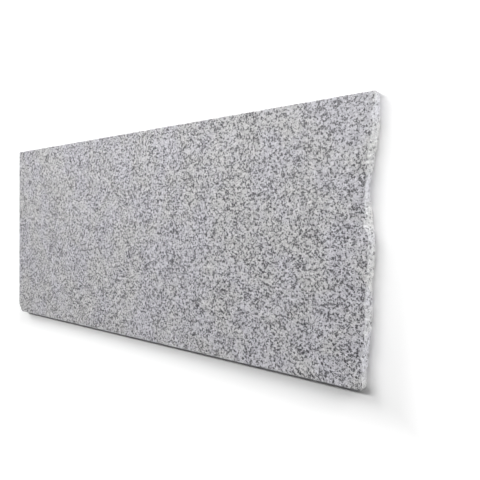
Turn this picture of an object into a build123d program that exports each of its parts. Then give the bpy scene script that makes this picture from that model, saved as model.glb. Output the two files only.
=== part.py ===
from build123d import *
import os

# A granite paving strip as a stone yard stocks it: both faces, both long edges and one end are sawn,
# and the other end is left as it broke off the block. It lies on its bed with the face upwards, the
# length along X from the sawn end to the broken end, and the width along Y. All sizes in millimetres.

# Sawn slab. The length is measured to the farthest point of the broken end.
length = 1400.0
width = 600.0
thickness = 30.0
arris = 1.5

# Broken end: how far the stone stops short of the full length, at stations spaced evenly from the
# -Y edge to the +Y edge. One row for the outline on the bed, one half way up and one on the face.
bed_recess = (30.0, 25.4, 18.9, 16.8, 14.3, 10.2, 17.8, 20.2, 8.9, 0.6, 0.4)
middle_recess = (28.0, 24.0, 18.3, 15.4, 13.0, 9.6, 16.8, 18.2, 9.2, 2.4, 1.2)
face_recess = (27.0, 26.2, 21.2, 18.8, 15.3, 13.7, 20.3, 19.1, 12.9, 3.4, 0.0)

# Flakes lost from the two arrises of the broken end: place as a share of the outline from -Y to +Y,
# radius of the hollow and how deep it bites into the arris.
face_flakes = (
    (0.13, 24.0, 2.4),
    (0.30, 34.0, 2.8),
    (0.47, 22.0, 2.2),
    (0.56, 30.0, 3.2),
    (0.76, 26.0, 2.6),
    (0.91, 36.0, 3.4),
)
bed_flakes = (
    (0.07, 30.0, 3.0),
    (0.24, 24.0, 2.4),
    (0.41, 34.0, 2.8),
    (0.68, 28.0, 3.0),
    (0.85, 22.0, 2.2),
)

# Corner knocked off beside the sawn end, and the blunted corner beside the broken end: reach of the
# break along the length, reach across the width, and how far it bows out towards the lost corner.
# Both breaks lean, so that this share of the reach is lost at the bed.
sawn_corner_along = 24.0
sawn_corner_across = 32.0
sawn_corner_bow = 3.0
blunt_corner_along = 5.0
blunt_corner_across = 8.0
blunt_corner_bow = 1.2
corner_bed_share = 0.7

# How far cutting shapes run past the stone, and how far the broken face runs past bed and face.
overrun = 12.0
skim = 1.0

half_length = length / 2
half_width = width / 2
beyond_x = half_length + 2 * overrun
levels = (-skim, thickness / 2, thickness + skim)


def end_points(recess):
    """Points of one broken outline, carried straight out past both long edges."""
    pitch = width / (len(recess) - 1)
    points = [(half_length - depth, pitch * i - half_width) for i, depth in enumerate(recess)]
    first = (points[0][0], -half_width - overrun)
    last = (points[-1][0], half_width + overrun)
    return [first, *points, last]


with BuildPart() as granite_strip:
    # Slab sawn square, longer than needed at the end that breaks, with its sawn arrises dulled
    with BuildSketch():
        with Locations((-half_length, 0)):
            Rectangle(length + overrun, width, align=(Align.MIN, Align.CENTER))
    extrude(amount=thickness)
    long_arrises = granite_strip.edges().filter_by(Axis.X)
    end_arrises = granite_strip.edges().group_by(Axis.X)[0]
    chamfer(long_arrises + end_arrises, arris)

    # Broken end, a wavy face drawn through the three outlines
    outlines = []
    for level, recess in zip(levels, (bed_recess, middle_recess, face_recess)):
        with BuildSketch(Plane.XY.offset(level)):
            with BuildLine():
                break_line = Spline(*end_points(recess))
                Polyline(
                    break_line @ 1,
                    (beyond_x, half_width + overrun),
                    (beyond_x, -half_width - overrun),
                    break_line @ 0,
                )
            make_face()
        outlines.append(break_line)
    loft(mode=Mode.SUBTRACT)

    # Flakes off the arrises of the broken end
    for outline, level, up, flakes in (
        (outlines[0], 0, -1, bed_flakes),
        (outlines[-1], thickness, 1, face_flakes),
    ):
        for share, radius, bite in flakes:
            spot = outline @ share
            way_out = Vector(1, 0, up).normalized() * (radius - bite)
            with Locations(Vector(spot.X, spot.Y, level) + way_out):
                Sphere(radius, mode=Mode.SUBTRACT)

    # Broken corners on the -Y edge
    for corner_x, inward, along, across, bow in (
        (-half_length, 1, sawn_corner_along, sawn_corner_across, sawn_corner_bow),
        (half_length - face_recess[0], -1, blunt_corner_along, blunt_corner_across, blunt_corner_bow),
    ):
        for level, share in ((-overrun, corner_bed_share), (thickness + overrun, 1)):
            side_foot = Vector(corner_x + inward * along * share, -half_width)
            end_foot = Vector(corner_x, across * share - half_width)
            lost_corner = Vector(corner_x, -half_width)
            middle = (side_foot + end_foot) / 2
            crown = middle + (lost_corner - middle).normalized() * bow
            outside_x = corner_x - inward * 2 * overrun
            with BuildSketch(Plane.XY.offset(level)):
                with BuildLine():
                    ThreePointArc(side_foot, crown, end_foot)
                    Polyline(
                        end_foot,
                        (outside_x, end_foot.Y),
                        (outside_x, -half_width - overrun),
                        (side_foot.X, -half_width - overrun),
                        side_foot,
                    )
                make_face()
        loft(mode=Mode.SUBTRACT)

granite_strip.part.label = "granite_strip"

os.makedirs("parts", exist_ok=True)
export_step(granite_strip.part, "parts/granite_strip.step")
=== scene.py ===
import math

import bmesh
import bpy
import numpy as np
from mathutils import Matrix, Vector, geometry, noise


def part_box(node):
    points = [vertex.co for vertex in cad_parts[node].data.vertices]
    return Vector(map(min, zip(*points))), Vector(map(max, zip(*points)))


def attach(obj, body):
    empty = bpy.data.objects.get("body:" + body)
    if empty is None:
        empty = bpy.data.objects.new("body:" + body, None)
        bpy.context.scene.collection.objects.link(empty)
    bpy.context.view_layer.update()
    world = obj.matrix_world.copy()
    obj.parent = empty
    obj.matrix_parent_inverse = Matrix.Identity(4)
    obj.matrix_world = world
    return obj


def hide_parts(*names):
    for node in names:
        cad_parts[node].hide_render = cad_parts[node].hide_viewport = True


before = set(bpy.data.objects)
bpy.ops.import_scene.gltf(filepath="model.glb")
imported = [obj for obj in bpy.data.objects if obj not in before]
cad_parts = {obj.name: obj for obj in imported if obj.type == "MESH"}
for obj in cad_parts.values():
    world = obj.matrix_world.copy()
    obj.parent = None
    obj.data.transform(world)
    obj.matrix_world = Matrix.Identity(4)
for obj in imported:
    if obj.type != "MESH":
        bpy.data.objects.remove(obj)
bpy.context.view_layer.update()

# Lengths are in metres, as in the frame. The strip lies on its bed, with the sawn end at -X and the
# broken end at +X.
MM = 0.001
STRIP = "granite_strip"
LOW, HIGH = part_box(STRIP)
HALF_LENGTH = (HIGH.x - LOW.x) / 2
HALF_WIDTH = (HIGH.y - LOW.y) / 2
THICKNESS = HIGH.z - LOW.z

# Rows of the dressed mesh. The edges are sliced close together near both arrises, and rings run
# inwards from the arris over the face and the bed until the plain fill begins. A ring of the fill has
# its inset and keeps every second, fourth and so on of the points around the outline.
ARRIS_SLICES = [depth * MM for depth in (0.02, 0.5, 1.0, 1.5, 2.1, 3.0)]
PLAIN_SLICES = np.linspace(4.2 * MM, THICKNESS - 4.2 * MM, 17)
FACE_RINGS = [inset * MM for inset in (14.0, 9.0, 6.0, 4.0, 2.5, 1.5, 0.7)]
BED_RINGS = [inset * MM for inset in (0.7, 1.5, 2.5, 4.0, 7.0, 12.0)]
FILL_RINGS = [(0.022, 2), (0.034, 4), (0.052, 8), (0.080, 12), (0.120, 16), (0.170, 20), (0.230, 24)]

# Spacing of the points around the outline
SAWN_STEP = 3.0 * MM
BROKEN_STEP = 1.2 * MM
CORNER_STEP = 1.4 * MM
CORNER_REACH = 42 * MM

# Corners of the outline, counter-clockwise from the knocked-off one, as the directions they point
CORNERS = ((-1, -1), (1, -1), (1, 1), (-1, 1))
BROKEN_SIDE = 1

# The knocked-off corner has no swells, and its crystal faces are a little deeper than the broken end's
CORNER_CRYSTALS = 1.2

# The outside of the strip laid out on a square sheet, for baked textures: the sheet's side, and
# where the lower left corners of the face, the bed and the four sides lie
SHEET = 1.44
FACE_AT = (0.02, 0.02)
BED_AT = (0.02, 0.64)
SIDES_AT = ((0.02, 1.26), (0.02, 1.36), (0.02, 1.31), (0.72, 1.36))

# Slots of the dressed mesh, in the order of FINISHES
SAWN_FACE, SAWN_EDGE, BROKEN = 0, 1, 2

# The stone's own minerals as a sawn surface shows them, and paler and duller where it broke
SAWN_STONE = {
    "Grain Size": 4 * MM,
    "Dark Share": 0.15,
    "Feldspar": (0.57, 0.565, 0.582, 1),
    "Quartz": (0.432, 0.428, 0.447, 1),
    "Mica": (0.026, 0.025, 0.03, 1),
}
BROKEN_STONE = {
    "Grain Size": 4 * MM,
    "Dark Share": 0.065,
    "Feldspar": (0.77, 0.77, 0.785, 1),
    "Quartz": (0.65, 0.65, 0.665, 1),
    "Mica": (0.22, 0.22, 0.23, 1),
}
# Pale crushed stone along knocked arrises, which also paints a pale highlight along them
BRUISED_AND_HIGHLIT_STONE = (0.66, 0.66, 0.67, 1)

# Finish: its minerals, the strength of its bruises with their painted arris highlight, its roughness and the
# height of its tooth
FINISHES = {
    "sawn_face": (SAWN_STONE, 0.5, 0.7, 0.15 * MM),
    "sawn_edge": (SAWN_STONE, 0.5, 0.75, 0.2 * MM),
    "broken_stone": (BROKEN_STONE, 0.7, 0.85, 0.4 * MM),
}
# How much less rough dark grains and cleavage faces are than the stone around them
GLASSY_DROP = 0.2


def welded_solid():
    """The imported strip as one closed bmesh."""
    solid = bmesh.new()
    solid.from_mesh(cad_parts[STRIP].data)
    bmesh.ops.remove_doubles(solid, verts=solid.verts[:], dist=0.001 * MM)
    return solid


def sliced(solid, height):
    """Plan outline of the solid at one height: (x, y) points, counter-clockwise, half a millimetre apart."""
    slab = solid.copy()
    everything = slab.verts[:] + slab.edges[:] + slab.faces[:]
    cut = bmesh.ops.bisect_plane(
        slab, geom=everything, dist=1e-8, plane_co=(0, 0, height), plane_no=(0, 0, 1)
    )
    beside = {}
    for part in cut["geom_cut"]:
        if isinstance(part, bmesh.types.BMEdge):
            one, other = part.verts
            beside.setdefault(one, []).append(other)
            beside.setdefault(other, []).append(one)
    first = next(iter(beside))
    loop, here, onward = [first], first, beside[first][0]
    while onward is not first:
        loop.append(onward)
        here, onward = onward, next(v for v in beside[onward] if v is not here)
    outline = np.array([v.co.xy for v in loop])
    slab.free()
    turned = np.roll(outline, -1, axis=0)
    if np.sum(outline[:, 0] * turned[:, 1] - outline[:, 1] * turned[:, 0]) < 0:
        outline = outline[::-1]
    return spaced(np.vstack([outline, outline[:1]]), 0.5 * MM)[:-1]


def run_of(line):
    """Distance walked along a polyline at each of its points."""
    steps = np.linalg.norm(np.diff(line, axis=0), axis=1)
    return np.concatenate([[0], np.cumsum(steps)])


def at_distances(line, distances):
    """Points of a polyline at these distances along it."""
    run = run_of(line)
    return np.column_stack([np.interp(distances, run, line[:, axis]) for axis in (0, 1)])


def spaced(line, step):
    """A polyline with its points this far apart, ends kept."""
    total = run_of(line)[-1]
    return at_distances(line, np.linspace(0, total, int(total / step) + 1))


def four_sides(outline):
    """The outline cut at its four corners, as four polylines from corner to corner."""
    starts = [int(np.argmax(outline @ np.array(corner))) for corner in CORNERS]
    sides = []
    for start, end in zip(starts, starts[1:] + starts[:1]):
        count = (end - start) % len(outline) + 1
        sides.append(np.roll(outline, -start, axis=0)[:count])
    return sides


def station_shares(side, number):
    """Shares of a side's length where the mesh has points: close together on breaks, wide on sawn stone."""
    total = run_of(side)[-1]
    shares, reached = [], 0.0
    while reached < total:
        shares.append(reached / total)
        near_corner = min(reached, total - reached) < CORNER_REACH
        sawn_step = CORNER_STEP if near_corner else SAWN_STEP
        reached += BROKEN_STEP if number == BROKEN_SIDE else sawn_step
    return np.array(shares)


def laid_out(outline, shares):
    """Points of one outline at the shared stations of its four sides."""
    points = [
        at_distances(side, share * run_of(side)[-1])
        for side, share in zip(four_sides(outline), shares)
    ]
    return np.vstack(points)


def outward(loop):
    """Unit normals of a closed counter-clockwise loop, pointing out of the stone."""
    along = np.roll(loop, -1, axis=0) - np.roll(loop, 1, axis=0)
    normal = np.column_stack([along[:, 1], -along[:, 0]])
    return normal / np.linalg.norm(normal, axis=1, keepdims=True)


def drawn_in(loop, inset):
    """A loop shrunk towards the middle of the strip, so that each side moves in by the inset."""
    return loop * (1 - inset / np.array([HALF_LENGTH, HALF_WIDTH]))


def waves(points, size, seed):
    """Smooth noise between about -0.8 and 0.8 at every point, with bumps of the given size."""
    shift = Vector((seed * 17.3, seed * 5.1, seed * 9.7))
    return np.array([noise.noise(Vector(p) / size + shift) for p in points])


def facets(points, size, seed):
    """Crystal facets: around each grain's middle a tilted plane of its own, between about -1 and 1."""
    shift = Vector((seed * 11.9, seed * 3.7, seed * 23.1))
    heights = []
    for point in points:
        spot = Vector(point) / size + shift
        middle = noise.voronoi(spot)[1][0]
        tilt = noise.cell_vector(middle * 61.7) - Vector((0.5, 0.5, 0.5))
        level = noise.cell(middle * 37.9)
        heights.append(0.6 * level + 1.6 * tilt.dot(spot - middle))
    return np.array(heights)


def swells(points):
    """How far the broken stone stands back in wide swells at each point."""
    return MM * (0.6 + 1.6 * waves(points, 26 * MM, 1))


def crystal_faces(points):
    """How far the broken stone stands back at each point for its crystal faces, large and small."""
    return MM * (1.4 * facets(points, 10 * MM, 2) + 0.7 * facets(points, 4.5 * MM, 3))


def arris_bites(points, broken, seed):
    """How much of the arris is lost at each station: a steady dulling and chips, more of both on a break."""
    sawn_chips = np.maximum(0, waves(points, 17 * MM, seed + 1) - 0.5)
    torn_chips = np.maximum(0, waves(points, 15 * MM, seed + 3))
    sawn = 0.7 + 0.3 * waves(points, 5 * MM, seed) + 6.0 * sawn_chips
    torn = 1.2 + 0.8 * waves(points, 4 * MM, seed + 2) + 3.0 * torn_chips
    return MM * np.maximum(0, sawn * (1 - broken) + torn * broken)


def on_break(loop):
    """1 at stations on broken stone, 0 on sawn stone: broken stone stands back from the sawn planes."""
    back = np.minimum(HALF_WIDTH - np.abs(loop[:, 1]), loop[:, 0] - LOW.x)
    return np.clip((back - 0.3 * MM) / (1.0 * MM), 0, 1)


def with_height(loop, height):
    """A plan loop as (x, y, z) points, all at one height."""
    return np.column_stack([loop, np.full(len(loop), height)])


def set_out(outline):
    """The mesh's stations around the outline at half height: their shares of the four sides, the lengths
    of the sides, and at each station the plan point, the outward normal and how broken the stone is."""
    sides = four_sides(outline)
    shares = [station_shares(side, number) for number, side in enumerate(sides)]
    waist = laid_out(outline, shares)
    return {
        "shares": shares,
        "lengths": [run_of(side)[-1] for side in sides],
        "waist": waist,
        "normal": outward(waist),
        "broken": on_break(waist),
    }


def hackled(loop, height, stations):
    """An outline with its broken stone roughened."""
    torn = stations["broken"] > 0
    points = with_height(loop[torn], height)
    at_end = points[:, 0] > 0
    crystals = np.where(at_end, 1, CORNER_CRYSTALS) * crystal_faces(points)
    depth = np.where(at_end, swells(points), 0) + crystals
    depth *= stations["broken"][torn]
    rough = loop.copy()
    rough[torn] -= stations["normal"][torn] * depth[:, None]
    return rough


def edge_loops():
    """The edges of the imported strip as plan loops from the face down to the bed, with the heights of the
    loops over the bed and the stations that they share."""
    solid = welded_solid()
    slices = [THICKNESS - depth for depth in ARRIS_SLICES] + list(PLAIN_SLICES[::-1]) + ARRIS_SLICES[::-1]
    outlines = [sliced(solid, LOW.z + height) for height in slices]
    solid.free()
    stations = set_out(outlines[len(outlines) // 2])
    loops = [
        hackled(laid_out(outline, stations["shares"]), height, stations)
        for height, outline in zip(slices, outlines)
    ]
    # The outermost slices lie just inside the stone and stand for the face and the bed
    heights = np.array([THICKNESS, *slices[1:-1], 0.0])
    return loops, heights, stations


def strip_rows(loops, heights, stations):
    """All rows of the mesh, from the innermost ring of the face to that of the bed: plan loop, height over
    the bed, and how far the sawn stone stands back from its edge there, as a negative length."""
    count = len(stations["waist"])
    rows = [(drawn_in(loops[0], inset), THICKNESS, np.full(count, -inset)) for inset in FACE_RINGS]
    for loop, height in zip(loops, heights):
        back = np.sum((loop - stations["waist"]) * stations["normal"], axis=1) * (1 - stations["broken"])
        rows.append((loop, height, np.minimum(back, 0)))
    rows += [(drawn_in(loops[-1], inset), 0.0, np.full(count, -inset)) for inset in BED_RINGS]
    return rows


def knocked_about(rows, stations):
    """The points of the rows with the arrises dulled and chipped, and how bruised the stone is at each, a pale
    band that is also a painted highlight along the arrises.
    """
    upper, lower = rows[len(FACE_RINGS)][0], rows[-1 - len(BED_RINGS)][0]
    upper_bites = arris_bites(with_height(upper, 0), stations["broken"], 20)
    lower_bites = arris_bites(with_height(lower, 0), stations["broken"], 40)
    patches = 1.4 + 1.6 * waves(with_height(stations["waist"], 0), 24 * MM, 60)
    bruise_and_highlight_width = MM * np.maximum(0.6, patches)
    points, bruises_and_highlights = [], []
    for loop, height, back in rows:
        lost_above = np.maximum(0, upper_bites + back + height - THICKNESS)
        lost_below = np.maximum(0, lower_bites + back - height)
        place = loop - stations["normal"] * ((lost_above + lost_below) / 2)[:, None]
        points.append(np.column_stack([place, LOW.z + height - lost_above / 2 + lost_below / 2]))
        # A pale band along each arris: bruised stone, and a painted highlight
        from_arris = np.minimum(THICKNESS - height, height) - back
        bruises_and_highlights.append(np.clip(1.2 - from_arris / bruise_and_highlight_width, 0, 1))
    return np.clip(points, LOW, HIGH), np.array(bruises_and_highlights)


def filled(ring, up):
    """Flat stone inside a ring, in triangles that get larger towards the middle. Returns the new points and
    the triangles, which count the ring's points first."""
    inner = [drawn_in(ring[::stride, :2], inset) for inset, stride in FILL_RINGS]
    plan = np.vstack([ring[:, :2], *inner])
    count = len(ring)
    rim = [(i, (i + 1) % count) for i in range(count)]
    flat, _, triangles, origins, _, _ = geometry.delaunay_2d_cdt([Vector(p) for p in plan], rim, [], 1, 1e-7)
    assert len(flat) == len(plan) and all(o[0] == i for i, o in enumerate(origins))
    made = []
    for a, b, c in triangles:
        turn = (flat[b] - flat[a]).cross(flat[c] - flat[a])
        made.append((a, b, c) if (turn > 0) == up else (a, c, b))
    return with_height(np.vstack(inner), ring[0, 2]), np.array(made)


def quad_corners(values):
    """The values at the four corners of every quad between neighbouring rows and stations."""
    beyond = np.roll(values, -1, axis=1)
    return np.stack([values[:-1], values[1:], beyond[1:], beyond[:-1]], axis=2)


def on_sheet(points, corner, turned_over):
    """Where flat stone lies on the sheet, seen from above, or turned over for the bed."""
    across = HIGH.x - points[..., 0] if turned_over else points[..., 0] - LOW.x
    return np.stack([corner[0] + across, corner[1] + points[..., 1] - LOW.y], axis=-1) / SHEET


def edges_on_sheet(heights, stations):
    """Where the four corners of every quad of the edges lie on the sheet, each side as a straight band."""
    starts, ends, bases = [], [], []
    for (left, low), shares, length in zip(SIDES_AT, stations["shares"], stations["lengths"]):
        run = left + np.append(shares, 1.0) * length
        starts.append(run[:-1])
        ends.append(run[1:])
        bases.append(np.full(len(shares), low))
    start, end = np.concatenate(starts), np.concatenate(ends)
    upper = np.concatenate(bases) + heights[:-1, None]
    lower = np.concatenate(bases) + heights[1:, None]
    corners = [(start, upper), (start, lower), (end, lower), (end, upper)]
    places = [np.stack(np.broadcast_arrays(run, height), axis=-1) for run, height in corners]
    return np.stack(places, axis=2) / SHEET


def dressed_strip():
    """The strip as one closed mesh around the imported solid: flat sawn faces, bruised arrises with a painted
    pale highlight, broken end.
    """
    loops, heights, stations = edge_loops()
    points, bruises_and_highlights = knocked_about(strip_rows(loops, heights, stations), stations)
    rows, around = points.shape[:2]
    edge_rows = slice(len(FACE_RINGS), rows - 1 - len(BED_RINGS))
    index = np.arange(rows * around).reshape(rows, around)
    broken = np.minimum(stations["broken"], np.roll(stations["broken"], -1)) > 0.5
    slots = np.full((rows - 1, around), SAWN_FACE)
    slots[edge_rows] = np.where(broken, BROKEN, SAWN_EDGE)
    sheet = quad_corners(on_sheet(points, FACE_AT, False))
    sheet[edge_rows] = edges_on_sheet(heights, stations)
    sheet[edge_rows.stop:] = quad_corners(on_sheet(points, BED_AT, True))[edge_rows.stop:]

    verts, bruise_and_highlight = [points.reshape(-1, 3)], [bruises_and_highlights.ravel()]
    faces, slots = quad_corners(index).reshape(-1, 4).tolist(), slots.ravel().tolist()
    places = [sheet.reshape(-1, 2)]
    total = rows * around
    for row, corner, up in ((0, FACE_AT, True), (rows - 1, BED_AT, False)):
        new_points, triangles = filled(points[row], up)
        numbers = np.concatenate([index[row], total + np.arange(len(new_points))])
        faces += numbers[triangles].tolist()
        slots += [SAWN_FACE] * len(triangles)
        plan = np.vstack([points[row], new_points])
        places.append(on_sheet(plan[triangles], corner, not up).reshape(-1, 2))
        verts.append(new_points)
        bruise_and_highlight.append(np.zeros(len(new_points)))
        total += len(new_points)

    mesh = bpy.data.meshes.new("dressed_strip")
    mesh.from_pydata(np.vstack(verts).tolist(), [], faces)
    mesh.polygons.foreach_set("material_index", slots)
    mesh.polygons.foreach_set("use_smooth", [True] * len(faces))
    mesh.attributes.new("bruise_and_highlight", "FLOAT", "POINT").data.foreach_set("value", np.concatenate(bruise_and_highlight))
    mesh.uv_layers.new(name="OFBake").data.foreach_set("uv", np.vstack(places).ravel())
    mesh.validate()
    mesh.update()
    strip = bpy.data.objects.new("dressed_strip", mesh)
    bpy.context.scene.collection.objects.link(strip)
    return strip


def placed(tree, kind, inputs=None, **settings):
    """A new node with its settings, its plain input values, and links from sockets given as inputs."""
    made = tree.nodes.new(kind)
    for name, value in settings.items():
        setattr(made, name, value)
    for name, value in (inputs or {}).items():
        if isinstance(value, bpy.types.NodeSocket):
            tree.links.new(value, made.inputs[name])
        else:
            made.inputs[name].default_value = value
    return made


def maths(tree, operation, *values):
    """The result of one sum on values and sockets."""
    return placed(tree, "ShaderNodeMath", dict(enumerate(values)), operation=operation).outputs[0]


def ramped(tree, value, start, end, low=0.0, high=1.0):
    """A value carried smoothly from start..end to low..high."""
    inputs = {"Value": value, "From Min": start, "From Max": end, "To Min": low, "To Max": high}
    return placed(tree, "ShaderNodeMapRange", inputs, interpolation_type="SMOOTHSTEP").outputs["Result"]


def mixed(tree, share, one, other):
    """The colour one, going over to the other by the share."""
    made = placed(tree, "ShaderNodeMix", data_type="RGBA", clamp_factor=True)
    for socket, value in ((made.inputs[0], share), (made.inputs[6], one), (made.inputs[7], other)):
        if isinstance(value, bpy.types.NodeSocket):
            tree.links.new(value, socket)
        else:
            socket.default_value = value
    return made.outputs[2]


# Kinds of group sockets
FLOAT, COLOUR = "NodeSocketFloat", "NodeSocketColor"


def shader_group(name, inputs, outputs):
    """An empty shader node group with named sockets: (name, kind, default) in, (name, kind) out."""
    group = bpy.data.node_groups.new(name, "ShaderNodeTree")
    for socket, kind, default in inputs:
        group.interface.new_socket(socket, in_out="INPUT", socket_type=kind).default_value = default
    for socket, kind in outputs:
        group.interface.new_socket(socket, in_out="OUTPUT", socket_type=kind)
    return group, group.nodes.new("NodeGroupInput").outputs, group.nodes.new("NodeGroupOutput").inputs


def scattered(tree, place, scale, likely, rim):
    """Angular single grains of the given fineness, each there or not by chance and more or less dark:
    up to 1 inside, 0 outside and in the rim between grains."""
    soft_edge = 0.025
    palest = 0.75
    grains = {"Vector": place, "Scale": scale}
    cells = placed(tree, "ShaderNodeTexVoronoi", grains)
    luck = placed(tree, "ShaderNodeSeparateColor", {0: cells.outputs["Color"]})
    border = placed(tree, "ShaderNodeTexVoronoi", grains, feature="DISTANCE_TO_EDGE").outputs["Distance"]
    picked = ramped(tree, maths(tree, "SUBTRACT", likely, luck.outputs[0]), -0.02, 0.02)
    inside = ramped(tree, border, rim - soft_edge, rim + soft_edge)
    depth = ramped(tree, luck.outputs[1], 0.0, 1.0, palest, 1.0)
    return maths(tree, "MULTIPLY", maths(tree, "MULTIPLY", picked, inside), depth)


def scaled(tree, vector, factor):
    """A vector or colour times the value of a socket."""
    made = placed(tree, "ShaderNodeVectorMath", {0: vector}, operation="SCALE")
    tree.links.new(factor, made.inputs["Scale"])
    return made.outputs[0]


def granite_minerals():
    """Group: the stone's own minerals, right through the block. Pale feldspar and grey quartz, with dark
    mica that gathers in drifts and along the rims of the larger feldspars."""
    group, given, out = shader_group(
        "granite_minerals",
        [
            ("Grain Size", FLOAT, SAWN_STONE["Grain Size"]),
            ("Dark Share", FLOAT, SAWN_STONE["Dark Share"]),
            ("Feldspar", COLOUR, SAWN_STONE["Feldspar"]),
            ("Quartz", COLOUR, SAWN_STONE["Quartz"]),
            ("Mica", COLOUR, SAWN_STONE["Mica"]),
        ],
        [("Colour", COLOUR), ("Dark", FLOAT), ("Cleavage", FLOAT), ("Tooth", FLOAT)],
    )
    place = group.nodes.new("ShaderNodeTexCoord").outputs["Object"]
    in_grains = scaled(group, place, maths(group, "DIVIDE", 1.0, given["Grain Size"]))

    # Grain borders run a little crooked
    crooks = {"Vector": in_grains, "Scale": 1.1, "Detail": 3.0, "Roughness": 0.6}
    swirl = placed(group, "ShaderNodeTexNoise", crooks)
    bend = {0: swirl.outputs["Color"], 1: (1.2, 1.2, 1.2), 2: in_grains}
    crooked = placed(group, "ShaderNodeVectorMath", bend, operation="MULTIPLY_ADD").outputs[0]

    # Feldspar and quartz crystals, with smaller ones of both between them
    crystals = placed(group, "ShaderNodeTexVoronoi", {"Vector": crooked, "Scale": 0.6})
    tones = placed(group, "ShaderNodeSeparateColor", {0: crystals.outputs["Color"]})
    quartz = ramped(group, tones.outputs[0], 0.48, 0.62)
    small = placed(group, "ShaderNodeTexVoronoi", {"Vector": crooked, "Scale": 1.9})
    small_tones = placed(group, "ShaderNodeSeparateColor", {0: small.outputs["Color"]})
    between = ramped(group, small_tones.outputs[0], 0.5, 0.55)
    small_quartz = ramped(group, small_tones.outputs[1], 0.4, 0.6)
    sizes = {"Factor": between, "A": quartz, "B": small_quartz}
    quartz = placed(group, "ShaderNodeMix", sizes).outputs["Result"]
    pale = mixed(group, quartz, given["Feldspar"], given["Quartz"])
    shade = ramped(group, small_tones.outputs[2], 0.0, 1.0, 0.82, 1.13)
    mottle = placed(group, "ShaderNodeTexNoise", {"Vector": in_grains, "Scale": 2.2, "Detail": 2.0})
    shade = maths(group, "MULTIPLY", shade, ramped(group, mottle.outputs["Fac"], 0.25, 0.75, 0.86, 1.12))
    pale = scaled(group, pale, shade)

    # Faint cool and warm clouds
    clouds = placed(group, "ShaderNodeTexNoise", {"Vector": in_grains, "Scale": 0.055, "Detail": 3.0})
    cloud = ramped(group, clouds.outputs["Fac"], 0.35, 0.65)
    tint = mixed(group, cloud, (1.008, 1.008, 0.979, 1), (0.992, 0.988, 1.026, 1))
    pale = placed(group, "ShaderNodeVectorMath", {0: pale, 1: tint}, operation="MULTIPLY").outputs[0]

    # Dark mica: how likely it is here, then grains of two sizes and shards lying two ways
    drifts = placed(group, "ShaderNodeTexNoise", {"Vector": in_grains, "Scale": 0.13, "Detail": 3.0})
    large = {"Vector": crooked, "Scale": 0.36}
    rims = placed(group, "ShaderNodeTexVoronoi", large, feature="DISTANCE_TO_EDGE")
    near_rim = ramped(group, rims.outputs["Distance"], 0.0, 0.22, 1.0, 0.0)
    drift = ramped(group, drifts.outputs["Fac"], 0.32, 0.68, 0.55, 0.95)
    gathered = maths(group, "MULTIPLY_ADD", near_rim, 0.9, drift)
    likely = maths(group, "MULTIPLY", given["Dark Share"], gathered)
    dark = scattered(group, crooked, 0.76, maths(group, "MULTIPLY", likely, 1.6), 0.065)
    specks = scattered(group, crooked, 1.25, maths(group, "MULTIPLY", likely, 1.0), 0.065)
    dark = maths(group, "MAXIMUM", dark, specks)
    for turn, stretch in ((0.6, (0.85, 1.4, 1.1)), (-0.9, (1.35, 0.85, 1.15))):
        lying = {"Vector": crooked, "Rotation": (0.4, 0.3, turn), "Scale": stretch}
        lay = placed(group, "ShaderNodeMapping", lying)
        shards = scattered(group, lay.outputs[0], 1.0, maths(group, "MULTIPLY", likely, 0.5), 0.07)
        dark = maths(group, "MAXIMUM", dark, shards)

    cleaved = ramped(group, tones.outputs[1], 0.82, 0.9)
    cleavage = maths(group, "MULTIPLY", cleaved, maths(group, "SUBTRACT", 1.0, dark))
    group.links.new(mixed(group, dark, pale, given["Mica"]), out["Colour"])
    group.links.new(dark, out["Dark"])
    group.links.new(cleavage, out["Cleavage"])
    group.links.new(maths(group, "MULTIPLY_ADD", dark, -0.5, mottle.outputs["Fac"]), out["Tooth"])
    return group


def arris_bruise_and_highlight():
    """Group: crushed pale stone where an arris was knocked, which also serves as a painted highlight along the
    arrises, from the mesh's own bruise and highlight values.
    """
    group, given, out = shader_group(
        "arris_bruise_and_highlight",
        [
            ("Colour", COLOUR, SAWN_STONE["Quartz"]),
            ("Pale Stone", COLOUR, BRUISED_AND_HIGHLIT_STONE),
            ("Strength", FLOAT, 0.5),
        ],
        [("Colour", COLOUR)],
    )
    bruise_and_highlight = placed(group, "ShaderNodeAttribute", attribute_name="bruise_and_highlight").outputs["Fac"]
    place = group.nodes.new("ShaderNodeTexCoord").outputs["Object"]
    broken_up = placed(group, "ShaderNodeTexNoise", {"Vector": place, "Scale": 1 / (5 * MM), "Detail": 2.0})
    # The pale mask paints crushed stone and a highlight along the arrises
    mask = maths(group, "MULTIPLY", bruise_and_highlight, ramped(group, broken_up.outputs["Fac"], 0.35, 0.6))
    mask = maths(group, "MULTIPLY", mask, given["Strength"])
    group.links.new(mixed(group, mask, given["Colour"], given["Pale Stone"]), out["Colour"])
    return group


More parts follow.
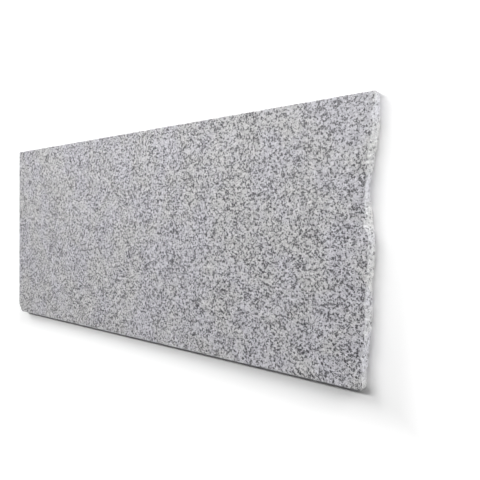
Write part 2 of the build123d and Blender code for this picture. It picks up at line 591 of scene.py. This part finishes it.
def granite(name, minerals, bruise_and_highlight):
    """One finish of the stone: its minerals and its bruises with their painted arris highlight, with this
    finish's own values.
    """
    values, bruising_and_highlight, roughness, tooth = FINISHES[name]
    material = bpy.data.materials.new(name)
    material.use_nodes = True
    tree = material.node_tree
    shader = tree.nodes["Principled BSDF"]
    stone = placed(tree, "ShaderNodeGroup", node_tree=minerals)
    for socket, value in values.items():
        stone.inputs[socket].default_value = value
    # Pale bruises along the arrises, partly a painted highlight
    bruised_and_highlit = placed(tree, "ShaderNodeGroup", node_tree=bruise_and_highlight)
    bruised_and_highlit.inputs["Strength"].default_value = bruising_and_highlight
    tree.links.new(stone.outputs["Colour"], bruised_and_highlit.inputs["Colour"])
    tree.links.new(bruised_and_highlit.outputs["Colour"], shader.inputs["Base Color"])
    glassy = maths(tree, "MAXIMUM", stone.outputs["Dark"], stone.outputs["Cleavage"])
    surface = maths(tree, "MULTIPLY_ADD", glassy, -GLASSY_DROP, roughness)
    tree.links.new(surface, shader.inputs["Roughness"])
    relief = {"Height": stone.outputs["Tooth"], "Strength": 1.0, "Distance": tooth}
    bump = placed(tree, "ShaderNodeBump", relief)
    tree.links.new(bump.outputs["Normal"], shader.inputs["Normal"])
    return material


def shown_rays(tree):
    """1 for rays that show the floor or the backdrop to the eye, straight or in a reflection."""
    ray = tree.nodes.new("ShaderNodeLightPath").outputs
    mirrored = maths(tree, "MAXIMUM", ray["Is Glossy Ray"], ray["Is Transmission Ray"])
    return maths(tree, "MAXIMUM", ray["Is Camera Ray"], mirrored)


def stage_floor():
    """A wide pale floor at the strip's bed. It looks white where nothing shades it, and away from the
    strip a faint glow keeps it white where the light falls off."""
    bpy.ops.mesh.primitive_plane_add(size=60, location=(0, 0, LOW.z))
    floor = bpy.context.object
    floor.name = "floor"
    material = bpy.data.materials.new("pale_floor")
    material.use_nodes = True
    tree = material.node_tree
    tree.nodes.clear()
    shown = shown_rays(tree)
    paper = mixed(tree, shown, (0.8, 0.8, 0.8, 1), (1, 1, 1, 1))
    matt = placed(tree, "ShaderNodeBsdfDiffuse", {"Color": paper})
    spot = tree.nodes.new("ShaderNodeTexCoord").outputs["Object"]
    place = placed(tree, "ShaderNodeSeparateXYZ", {0: spot})
    past_end = maths(tree, "SUBTRACT", maths(tree, "ABSOLUTE", place.outputs["X"]), HALF_LENGTH)
    past_edge = maths(tree, "SUBTRACT", maths(tree, "ABSOLUTE", place.outputs["Y"]), HALF_WIDTH)
    away = maths(tree, "MAXIMUM", past_end, past_edge)
    near_glow = ramped(tree, away, 0.015, 0.12, 0.0, 0.24)
    far_glow = ramped(tree, away, 0.15, 1.5, 0.0, 0.55)
    glowing = maths(tree, "MULTIPLY", shown, maths(tree, "ADD", near_glow, far_glow))
    glow = placed(tree, "ShaderNodeEmission", {"Strength": glowing})
    both = placed(tree, "ShaderNodeAddShader", {0: matt.outputs[0], 1: glow.outputs[0]})
    placed(tree, "ShaderNodeOutputMaterial", {"Surface": both.outputs[0]})
    floor.data.materials.append(material)


def softbox(name, place, target, size, power):
    """A flat rectangular lamp at a place, turned to its target."""
    lamp = bpy.data.lights.new(name, "AREA")
    lamp.shape = "RECTANGLE"
    lamp.size, lamp.size_y = size
    lamp.energy = power
    lamp_object = bpy.data.objects.new(name, lamp)
    lamp_object.location = place
    lamp_object.rotation_mode = "QUATERNION"
    lamp_object.rotation_quaternion = (Vector(target) - Vector(place)).to_track_quat("-Z", "Y")
    bpy.context.scene.collection.objects.link(lamp_object)


def studio_light():
    """A bright wall behind the +Y edge and a low bright horizon all round. One softbox stands over the wall
    towards the sawn end, a narrow steep one draws the dark line of shadow along the -Y edge, and a low one
    faces the broken end."""
    world = bpy.data.worlds.new("studio")
    bpy.context.scene.world = world
    world.use_nodes = True
    tree = world.node_tree
    background = tree.nodes["Background"]
    background.inputs["Color"].default_value = (1, 1, 1, 1)
    sky = tree.nodes.new("ShaderNodeTexCoord").outputs["Generated"]
    way = placed(tree, "ShaderNodeSeparateXYZ", {0: sky})
    wall = ramped(tree, way.outputs["Y"], 0.35, 0.5, 0.03, 1.0)
    horizon = ramped(tree, way.outputs["Z"], 0.15, 0.3, 0.8, 0.0)
    lit = maths(tree, "MAXIMUM", wall, horizon)
    shown = placed(tree, "ShaderNodeMix", {"Factor": shown_rays(tree), "A": lit, "B": 1.0})
    tree.links.new(shown.outputs["Result"], background.inputs["Strength"])
    softbox("key", place=(-1.2, 1.9, 1.9), target=(0, 0, 0), size=(1.4, 1.0), power=32)
    softbox("steep", place=(-0.2, 0.78, 2.0), target=(-0.2, -0.3, 0), size=(1.6, 0.2), power=28.5)
    softbox("end_fill", place=(2.4, 1.2, 0.55), target=(0.68, 0, 0), size=(1.2, 0.8), power=25)


def photo_camera():
    """A camera that sees the face as the photograph does: level with the long edges, turned from the
    face's normal towards the broken end."""
    picture = 480
    focal_px = 473.6
    horizon_px = 219.3
    turn = math.radians(38.07)
    stand = Matrix.Translation((1.0655, 0.0456, 0.9272))
    camera = bpy.data.cameras.new("camera")
    camera.sensor_width = 36
    camera.lens = camera.sensor_width * focal_px / picture
    camera.shift_y = (horizon_px - picture / 2) / picture
    right = Vector((math.cos(turn), 0, -math.sin(turn)))
    up = Vector((0, 1, 0))
    back = right.cross(up)
    eye = bpy.data.objects.new("camera", camera)
    eye.matrix_world = stand @ Matrix((right, up, back)).transposed().to_4x4()
    bpy.context.scene.collection.objects.link(eye)
    bpy.context.scene.camera = eye


minerals = granite_minerals()
bruise_and_highlight = arris_bruise_and_highlight()
strip = dressed_strip()
for finish in FINISHES:
    strip.data.materials.append(granite(finish, minerals, bruise_and_highlight))
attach(strip, "root")
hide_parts(STRIP)

stage_floor()
studio_light()
photo_camera()
bpy.context.scene.view_settings.view_transform = "Standard"
